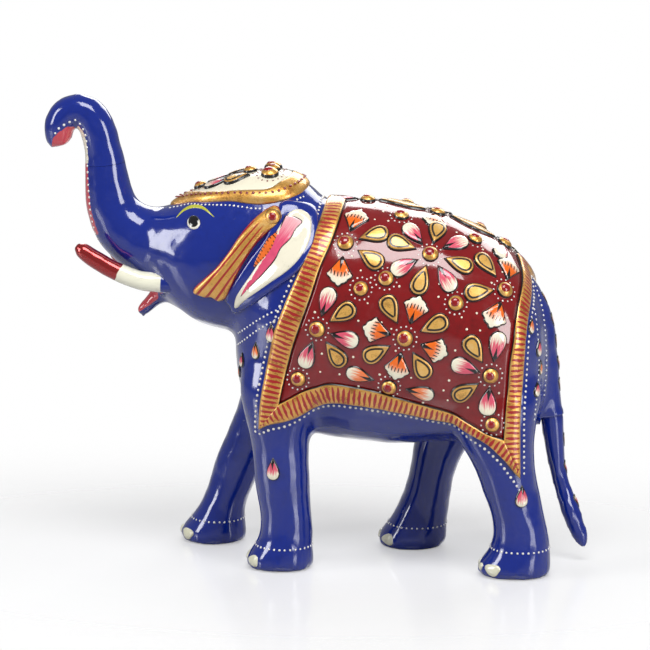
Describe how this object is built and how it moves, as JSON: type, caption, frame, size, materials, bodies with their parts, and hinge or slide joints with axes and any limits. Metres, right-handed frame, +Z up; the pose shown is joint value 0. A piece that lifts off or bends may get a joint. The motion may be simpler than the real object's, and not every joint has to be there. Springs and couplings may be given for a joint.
{
  "type": "elephant figurine",
  "caption": "Standing elephant with a raised curled trunk, in blue lacquer, with a red and gold flowered saddle cloth and a head cloth in relief.",
  "frame": {"origin": "centre of the outer box on the ground plane, under the belly", "axes": "the elephant faces -X, its left side is at -Y, +Z up"},
  "size_m": [0.1753, 0.0638, 0.149],
  "materials": {
    "blue_enamel": "painted, thick glossy lacquer",
    "red_enamel": "raised, painted, glossy lacquer",
    "gold_paint": "raised, metallic paint under lacquer",
    "cream_paint": "painted, glossy lacquer",
    "pink_paint": "raised, painted pink to cream",
    "orange_paint": "raised, painted orange to cream",
    "ruby_paint": "small domed drops of red lacquer",
    "eye_paint": "painted white with a black pupil",
    "bare_wood": "plain turned dowel, hidden inside"
  },
  "bodies": {
    "root": {"body_block": "blue_enamel", "trunk_upper": "blue_enamel", "trunk_dowel": "bare_wood", "tail": "blue_enamel", "tail_dowel": "bare_wood", "tusk_left": "cream_paint", "tusk_right": "cream_paint", "ear_left": "blue_enamel", "ear_right": "blue_enamel", "ear_panel_left": "cream_paint", "ear_panel_right": "cream_paint", "ear_fan_left": "gold_paint", "ear_fan_right": "gold_paint", "ear_pins": "bare_wood", "eyes": "eye_paint", "toenails": "cream_paint", "head_cloth": "cream_paint", "head_rim": "gold_paint", "saddle_cloth": "red_enamel", "saddle_border": "gold_paint", "petals_gold": "gold_paint", "petals_pink": "pink_paint", "petals_orange": "orange_paint", "bosses": "gold_paint", "stones": "ruby_paint"}
  },
  "joints": []
}
